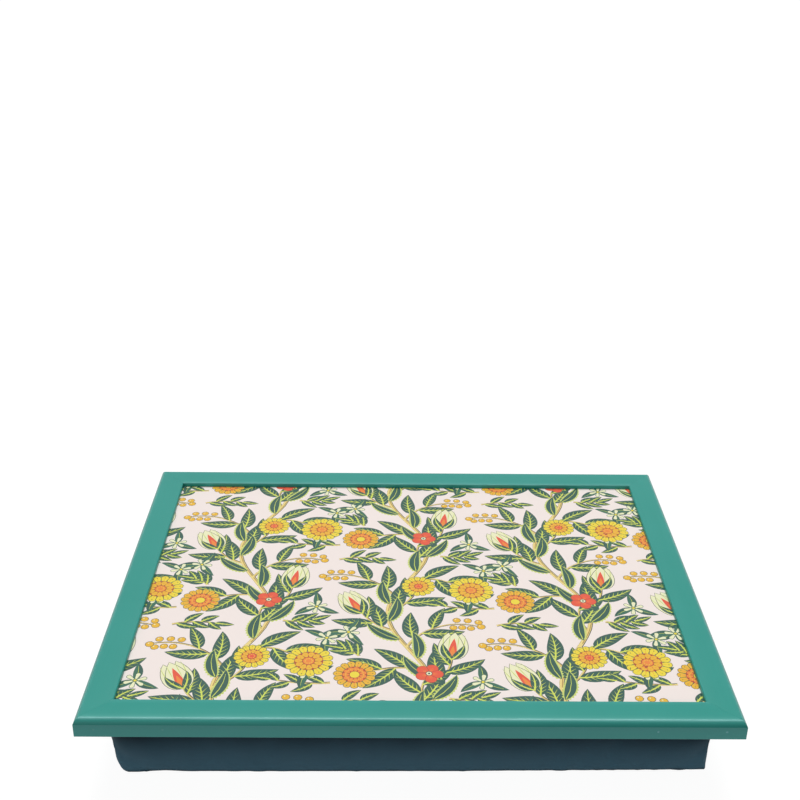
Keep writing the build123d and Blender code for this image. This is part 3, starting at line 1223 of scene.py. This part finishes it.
def plan_point(mark_x, mark_y, inset, draw, radius):
    """Where a grid mark lies in a level section with round corners and drawn-in sides."""
    half_x = TRAY_LENGTH / 2 - inset
    half_y = TRAY_DEPTH / 2 - inset
    deep_x = mark_x[1] * half_x / CORNER_X
    deep_y = mark_y[1] * half_y / CORNER_Y
    depth = min(deep_x, deep_y)
    run = max(deep_x, deep_y) - depth
    bend = max(radius - depth, 0.0)
    x, y = half_x - deep_x, half_y - deep_y
    if run < bend:
        swing = math.pi / 4 * (1 + run / bend * (1 if deep_x > deep_y else -1))
        x = half_x - depth - bend + bend * math.cos(swing)
        y = half_y - depth - bend + bend * math.sin(swing)
    pull_x = pull_y = 0.0
    if deep_x <= deep_y:
        pull_x = draw * (1 - (y / half_y) ** 2) * math.exp(-deep_x / DRAW_REACH)
    if deep_y <= deep_x:
        pull_y = draw * (1 - (x / half_x) ** 2) * math.exp(-deep_y / DRAW_REACH)
    return mark_x[0] * (x - pull_x), mark_y[0] * (y - pull_y)


print("front corners at x", round(CORNER_X, 1), "and y", round(-CORNER_Y, 1))


# %% Lay the cushion's grid
def cushion_grid(inside, heights, near_edge, spacing, top, foot):
    """Points and faces of the closed cushion, this far inside its cover."""
    marks_x = grid_marks(CORNER_X, near_edge, spacing)
    marks_y = grid_marks(CORNER_Y, near_edge, spacing)
    last_x, last_y = len(marks_x) - 1, len(marks_y) - 1
    points, number = [], {}

    def point(i, j, k):
        """The number of a grid point; k is its level, 0 at the bottom panel."""
        key = (i, j, k)
        if key not in number:
            height = heights[k]
            inset, draw, radius = along_curve(cover_levels, height)
            rounded = max(radius - inside, LEAST_RADIUS)
            x, y = plan_point(marks_x[i], marks_y[j], inset + inside, draw, rounded)
            if k == 0:
                share = along_curve(crown_curve, min(marks_x[i][1], marks_y[j][1]))[0]
                height = max(foot, height - share * (height - foot + CROWN_CUT))
            elif 0 < i < last_x and 0 < j < last_y:
                height = top
            number[key] = len(points)
            points.append((x, y, height))
        return number[key]

    faces = []
    top_level = len(heights) - 1
    for i in range(last_x):
        for j in range(last_y):
            for k, order in ((0, 1), (top_level, -1)):
                square = [point(a, b, k) for a, b in ((i, j), (i, j + 1), (i + 1, j + 1), (i + 1, j))]
                faces.append(square[::order])
    outline = [(i, 0) for i in range(last_x)] + [(last_x, j) for j in range(last_y)]
    outline += [(i, last_y) for i in range(last_x, 0, -1)] + [(0, j) for j in range(last_y, 0, -1)]
    for (a, b), (c, d) in zip(outline, outline[1:] + outline[:1]):
        for k in range(top_level):
            faces.append([point(a, b, k), point(c, d, k), point(c, d, k + 1), point(a, b, k + 1)])
    return points, faces


COVER_INSIDE = 0.4
COVER_SPACING = 5.4
cover_edge = (0.0, 0.8, 2.0, 4.5, 8.0, 12.0)
cover_heights = [SEAM_HEIGHT, 3.3, 4.4, 6.5, 10, 14.5, 19, 23.5, 28, 32.5, 36.5, 40, 43.5]
cover_heights += [FRAME_BASE, COVER_TOP]
cover_points, cover_faces = cushion_grid(
    COVER_INSIDE, cover_heights, cover_edge, COVER_SPACING, COVER_TOP, 0.0,
)
print("cover points:", len(cover_points))

# %% [markdown]
# The cloth settings are those of a light cotton: it hardly stretches, bends easily, and is cut
# a trifle larger than the shape so that it can crease. Gravity is off because the beads carry
# the cloth.

# %% Blow up the cover
SIM_FRAMES = 20
MOST_MOVEMENT = 3.2
HELD_ABOVE = 44
REST_EDGE = 30
COTTON = {
    "quality": 6,
    "mass": 0.25,
    "tension_stiffness": 12,
    "compression_stiffness": 8,
    "shear_stiffness": 4,
    "bending_stiffness": 0.15,
    "shrink_min": -0.012,
    "use_pressure": True,
    "uniform_pressure_force": 4.0,
    "vertex_group_mass": "held",
}


def blown_up(piece, held):
    """Where the points of a piece end up when it is filled, in metres."""
    group = piece.vertex_groups.new(name="held")
    group.add(held, 1.0, "ADD")
    cloth = piece.modifiers.new("Cotton", "CLOTH")
    for name, value in COTTON.items():
        setattr(cloth.settings, name, value)
    cloth.settings.effector_weights.gravity = 0
    cloth.point_cache.frame_start = 1
    cloth.point_cache.frame_end = SIM_FRAMES
    for frame_number in range(1, SIM_FRAMES + 1):
        scene.frame_set(frame_number)
    shown = piece.evaluated_get(bpy.context.evaluated_depsgraph_get())
    places = [vertex.co.copy() for vertex in shown.data.vertices]
    piece.modifiers.remove(cloth)
    piece.vertex_groups.remove(group)
    scene.frame_set(1)
    return places


def is_held(x, y, z):
    """Whether the staples, the seam or the table hold a point of the cover."""
    edge_distance = min(TRAY_LENGTH / 2 - abs(x), TRAY_DEPTH / 2 - abs(y))
    resting = z < SEAM_HEIGHT and edge_distance > REST_EDGE
    return z > HELD_ABOVE or resting or abs(z - SEAM_HEIGHT) < 0.1


cover_cloth, weave = finish_named("cover_cloth")
cover_mesh = mesh_of("cushion_cover", cover_points, cover_faces)
settle_faces(cover_mesh, NO_CREASE)
cover = piece_of("cushion_cover", cover_mesh, cover_cloth)
rest_places = [vertex.co.copy() for vertex in cover_mesh.vertices]
held = [i for i, place in enumerate(rest_places) if is_held(*(place / MM))]
furthest = 0.0
for vertex, start, end in zip(cover_mesh.vertices, rest_places, blown_up(cover, held)):
    move = end - start
    furthest = max(furthest, move.length)
    if move.length > MOST_MOVEMENT * MM:
        move *= MOST_MOVEMENT * MM / move.length
    vertex.co = start + move
    vertex.co.z = max(vertex.co.z, 0.0)
print("furthest point moved", round(furthest / MM, 2), "mm before the cap")

# %% Smooth the cover
subdivision = cover.modifiers.new("Smooth", "SUBSURF")
subdivision.levels = subdivision.render_levels = 1
smooth_mesh = evaluated_mesh(cover)
cover.modifiers.remove(subdivision)
cover.data = smooth_mesh
smooth_mesh.shade_smooth()
print("cover points after smoothing:", len(smooth_mesh.vertices))

# %% [markdown]
# The rest is modelling in code. The left front corner has slumped: its lower end is
# round and lies on the table, and soft folds fan out from under the frame above it. The right
# front corner is crisp and stands out a little. The seam along the bottom is a narrow groove
# that rises and falls, with the cloth swelling at either side.

# %% The seam, the corners and the folds as rules
seam_line = (
    # place along the front, how high the seam lies there
    (-CORNER_X, 0.5), (-CORNER_X + 12, 0.75), (-CORNER_X + 34, 2.0), (-CORNER_X + 48, 1.2),
    (-70, 1.2), (-5, 1.5), (30, 1.7), (60, 2.3), (CORNER_X - 20, 4.5), (CORNER_X, 4.9),
)
BACK_SEAM = 2.0
SEAM_RUN = 120
SEAM_GROOVE = 0.55
FOLD_TOP = 50.0
folds = (
    # where they start: x and y; how many, how deep, how far they reach, first angle
    (-CORNER_X - 2, -CORNER_Y - 1, 4.0, 2.4, 42.0, 4.37),
    (CORNER_X + 2, -CORNER_Y - 1, 6.0, 0.8, 34.0, 1.5),
    (-CORNER_X - 2, CORNER_Y + 1, 8.0, 0.55, 38.0, 2.6),
    (CORNER_X + 2, CORNER_Y + 1, 7.0, 0.5, 36.0, 0.9),
)
GATHER_DEPTH, GATHER_FADE = 0.35, 7
SWELL_DEPTH = 0.5
SLUMP_WIDTH = 24
slump_steps = ((8.0, 4.6), (1.4, 30))  # how far the corner draws in, over what height it fades
SPREAD_DEPTH, SPREAD_FADE = 0.6, 16
SEAM_FADE = 9


def seam_height(x, y):
    """How high the bottom seam lies: it follows seam_line at the front and levels out behind."""
    front = along_curve(seam_line, x)[0]
    return front + (BACK_SEAM - front) * held_to_one((y + CORNER_Y) / SEAM_RUN)


def fold_depth(x, y, z):
    """How far folds raise the cloth at a point of a band."""
    total = 0.0
    for fold_x, fold_y, count, depth, reach, start in folds:
        across = max(abs(x - fold_x), abs(y - fold_y))
        down = FOLD_TOP - z
        way = math.atan2(down, across)
        ripple = math.sin(count * way + start + 1.2 * noise.noise(Vector((x, y, z)) / 17))
        total += depth * ripple * bell(math.hypot(across, down) - 0.55 * reach, 0.45 * reach)
    return total


def pushed(x, y, z):
    """How far a band's cloth stands out of its plain shape: folds, swells, gathers and seam."""
    below_frame = FRAME_BASE - z
    near_frame = math.exp(-below_frame / GATHER_FADE)
    gather = GATHER_DEPTH * near_frame * noise.noise(Vector((x / 9, y / 9, 0.3)))
    swell = SWELL_DEPTH * noise.noise(Vector((x / 38, y / 38, z / 26)))
    room = held_to_one(below_frame / 6) * held_to_one((z - SEAM_HEIGHT) / 4)
    push = (fold_depth(x, y, z) + swell) * room + gather * held_to_one(below_frame / 3)
    return push - SEAM_GROOVE * bell(z - SEAM_HEIGHT, 0.75)


def settled(x, y, z):
    """Where a point of the cushion lies once the seam has settled and the corner has slumped."""
    lower = seam_height(x, y) / SEAM_HEIGHT
    if z <= SEAM_HEIGHT:
        height = max(0.0, z) * lower
    else:
        height = z + SEAM_HEIGHT * (lower - 1) * math.exp((SEAM_HEIGHT - z) / SEAM_FADE)
    slump = bell(x + CORNER_X, SLUMP_WIDTH) * bell(y + CORNER_Y, SLUMP_WIDTH)
    drawn_in = sum(depth * math.exp(-height / fade) for depth, fade in slump_steps)
    spread = SPREAD_DEPTH * bell(x - CORNER_X, SLUMP_WIDTH) * math.exp(-height / SPREAD_FADE)
    return Vector((x + drawn_in * slump + spread, y, height)) * MM


print("the front seam rises by", round(seam_line[-1][1] - seam_line[0][1], 1), "mm to the right")

# %% Move the cover's points
outwards = [Vector((vertex.normal.x, vertex.normal.y, 0)) for vertex in smooth_mesh.vertices]
for vertex, outward in zip(smooth_mesh.vertices, outwards):
    x, y, z = vertex.co / MM
    if FRAME_BASE > z > SEAM_HEIGHT - 0.2:
        push = pushed(x, y, z)
        x += outward.x * push
        y += outward.y * push
    vertex.co = settled(x, y, min(z, COVER_TOP))
lowest = min(vertex.co.z for vertex in smooth_mesh.vertices)
print("lowest point of the cover:", round(lowest / MM, 3), "mm")

# %% Mark the seam for its shade
AT_SIDE = 0.985
SHADE_RISE, SHADE_WIDTH = 0.4, 1.2
seam_mark = smooth_mesh.attributes.new("seam", "FLOAT", "POINT")
for vertex, mark in zip(smooth_mesh.vertices, seam_mark.data):
    x, y, z = vertex.co / MM
    at_side = max(abs(x) / CORNER_X, abs(y) / CORNER_Y) > AT_SIDE
    above_seam = z - seam_height(x, y) - SHADE_RISE
    mark.value = bell(above_seam, SHADE_WIDTH) if at_side else 0.0
print("points in the seam's shade:", sum(mark.value > 0.5 for mark in seam_mark.data))

# %% [markdown]
# ## The cotton
#
# Cotton is matt, with a faint shine at grazing angles from its fibres. Its threads are too fine
# to count from here, but some are thicker than others, and those slubs show as short level
# streaks. The cloth is painted darker under the frame as painted shade, and paler towards the
# bottom as painted light bounced from the table.

# %% Dye the cotton
weave_place = weave.place()
slubs = weave.noise(weave.stretched(weave_place, (60, 60, 900)), 1.0)
cloth_clouds = weave.noise(weave_place, 30.0)
thread = weave.noise(weave_place, 1700.0, 1.0)
height_wire = weave.node("ShaderNodeSeparateXYZ", {}, {"Vector": weave_place}).out("Z")
# painted light and shade: the cloth is darker near the frame and paler towards the bottom
painted_light_share = weave.ramp(height_wire / (FRAME_BASE * MM), (0.12, 0.7), (0.74, 0.0))
uneven = cloth_clouds * 0.5 + slubs * 0.5
cotton_in_painted_shade = weave.blend(uneven, colour(20, 34, 43), colour(27, 43, 53))
cotton_in_painted_light = weave.blend(uneven, colour(84, 125, 146), colour(98, 141, 162))
# painted shade in the bottom seam
seam_shade_share = weave.attribute("seam") * 0.7
weave.surface({
    "Base Color": weave.blend(seam_shade_share, weave.blend(painted_light_share, cotton_in_painted_shade, cotton_in_painted_light), colour(26, 42, 52)),
    "Roughness": 0.82 + 0.1 * slubs,
    "Normal": weave.bumped(slubs * 0.5 + thread * 0.5, 0.0002, 0.6),
    "Sheen Weight": 0.1,
    "Sheen Roughness": 0.5,
    "Specular IOR Level": 0.1,
})
bands = ["cushion_" + side for side in ("front", "back", "left", "right")]
declare(cover, "cover_cloth", *bands, "cushion_bottom")

# %% [markdown]
# Inside the cover lie a thin non-woven bag and the beads. Both follow the cushion's shape a
# little further in. The bag has one fine texture that tints, roughens and dents it together,
# as the board and the wire further down do, so one helper mixes all three.

# %% Liner and beads
def textured_finish(name, texture, tones, roughness, bump, **uniform):
    """A finish with one fine texture, which tints, roughens and dents it together."""
    finish, board = finish_named(name)
    fine = board.noise(board.place(), *texture)
    board.surface({
        "Base Color": board.blend(fine, *(colour(*tone) for tone in tones)),
        "Roughness": roughness[0] + roughness[1] * fine,
        "Normal": board.bumped(fine, *bump),
        **uniform,
    })
    return finish


liner_cloth = textured_finish(
    "liner_cloth", (700.0, 4.0, 0.7), ((214, 214, 210), (240, 240, 236)), (0.7, 0.2), (0.0001, 0.6),
)
bead_skin, pearl = finish_named("polystyrene_beads")
bead_distance = pearl.node("ShaderNodeTexVoronoi", {}, {"Vector": pearl.place(), "Scale": 300.0})
pearl.surface({
    "Base Color": pearl.blend(bead_distance, colour(250, 250, 248), colour(214, 214, 212)),
    "Roughness": 0.5 + 0.2 * bead_distance,
    "Normal": pearl.bumped(1 - bead_distance, 0.0015, 0.8),
})
INNER_SPACING = 9.0
inner_edge = (0.0, 3.0, 8.0)
inner_heights = [SEAM_HEIGHT + 1.2, 8, 14, 20, 26, 32, 38, 43, 47]
inner_pieces = {
    # node: how far inside the cover, top, finish, slot
    "liner_bag": (2.6, 48.2, liner_cloth, "liner_cloth"),
    "bead_filling": (3.6, 47.4, bead_skin, "beads"),
}
for node, (inside, top, finish, slot) in inner_pieces.items():
    points, faces = cushion_grid(inside, inner_heights, inner_edge, INNER_SPACING, top, inside)
    inner_mesh = mesh_of(node + "_shape", [settled(*point) / MM for point in points], faces)
    settle_faces(inner_mesh, NO_CREASE)
    inner = piece_of("inner_" + node, inner_mesh, finish)
    declare(inner, slot, node)


# %% [markdown]
# ## Nails and board
#
# The pins, staples and board are hidden and have the right shape in CAD already, so they stay
# and only get their finish: fibreboard with pressed fibres, and bright drawn wire.

# %% Finish the hidden pieces
board_finish = textured_finish(
    "fibreboard", (500.0, 5.0, 0.7), ((136, 104, 72), (186, 154, 116)), (0.75, 0.15), (0.0001, 0.6),
)
wire_finish = textured_finish(
    "bright_wire", (2200.0,), ((176, 178, 182), (206, 207, 210)), (0.28, 0.15), (0.00002, 0.5),
    Metallic=1.0,
)
steel_nodes = ["corner_pins", "panel_pins"] + [side + "_staples" for side in sides]
hidden_finishes = {"panel_board": board_finish, **{node: wire_finish for node in steel_nodes}}
for node, finish in hidden_finishes.items():
    for place in frame["nodes"][node].material_slots:
        place.material = finish
print("finished in place:", len(hidden_finishes))

# %% [markdown]
# ## Filler over the pins
#
# Each rail is pinned through its side, and a dab of filler covers each pin's head. Twelve small
# domes on twelve points are what Geometry Nodes' instances are for: the points carry which way
# they face and how bare the dab is, because only two of them show through the paint.

# %% Place the dabs
PIN_DROP = 3.3
CORNER_PIN_PLACE, PANEL_PIN_PLACE = 13.0, 57.0
pin_height = FRAME_BASE + REBATE_DEPTH - PIN_DROP
dab_places = []
for side, (length, reach, turn, *_) in sides.items():
    turned = ray(1, math.radians(turn))
    pin_places = [PANEL_PIN_PLACE]
    if side in ("front", "back"):
        pin_places.insert(0, CORNER_PIN_PLACE)
    for place in pin_places:
        for end in (-1, 1):
            spot = complex(end * (length / 2 - place), -reach) * turned
            bare = 1.0 if side == "front" and end == 1 else 0.0
            dab_places.append((spot, complex(0, -1) * turned, bare))
dab_points = [(spot.real, spot.imag, pin_height) for spot, *_ in dab_places]
dab_mesh = mesh_of("dab_places", dab_points, [])
dab_mesh.attributes.new("facing", "FLOAT_VECTOR", "POINT")
dab_mesh.attributes.new("bare", "FLOAT", "POINT")
for i, (_, way, bare) in enumerate(dab_places):
    dab_mesh.attributes["facing"].data[i].vector = (way.real, way.imag, 0)
    dab_mesh.attributes["bare"].data[i].value = bare
print("dabs:", len(dab_places))

# %% Make the dabs
DAB_RADIUS = 0.75
DAB_RISE = 0.09
DAB_CREASE = 60
filler_finish, filler = finish_named("wood_filler")
chalk = filler.noise(filler.place(), 3000.0)
shows = filler.attribute("bare") * (0.3 + 0.4 * chalk)
# covered dabs take the side's colour, its painted reflection of the floor included
filler.surface({
    "Base Color": filler.blend(shows, PAINT_SIDE_REFLECTION, colour(112, 170, 176)),
    "Roughness": 0.45 + 0.3 * chalk,
    "Normal": filler.bumped(chalk, 0.00004, 0.6),
})

dab_bench = modelling_tree("filler_dabs", {"Radius": "Float", "Rise": "Float", "Finish": "Material"})
given = dab_bench.node("NodeGroupInput")
dome_sizes = {"Segments": 16, "Rings": 8, "Radius": given.out("Radius")}
dome = dab_bench.node("GeometryNodeMeshUVSphere", {}, dome_sizes)
facing = {"Vector": named(dab_bench, "facing", "FLOAT_VECTOR")}
aim = dab_bench.node("FunctionNodeAlignRotationToVector", {"axis": "Z"}, facing)
flat = dab_bench.xyz(X=1.0, Y=1.0, Z=given.out("Rise") / given.out("Radius"))
dabs = dab_bench.node("GeometryNodeInstanceOnPoints", {}, {
    "Points": given, "Instance": dome, "Rotation": aim, "Scale": flat,
})
end_tree(dab_bench, dabs, given)
dab_piece = made_by(dab_bench, "filler_dabs", dab_mesh, {
    "Radius": DAB_RADIUS * MM, "Rise": DAB_RISE * MM, "Finish": filler_finish,
})
settle_faces(dab_piece.data, DAB_CREASE)
declare(dab_piece, "filler", "pin_filler")


# %% [markdown]
# ## Sizes at the end
#
# The finished looks must fill the same box as the drawing. Both boxes are printed at the end.

# %% Print both boxes and finish
looks_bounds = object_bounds()
boxes = {"cad": cad_bounds, "looks": looks_bounds}
for name, box in boxes.items():
    print(name, [round(value / MM, 2) for corner in box for value in corner])
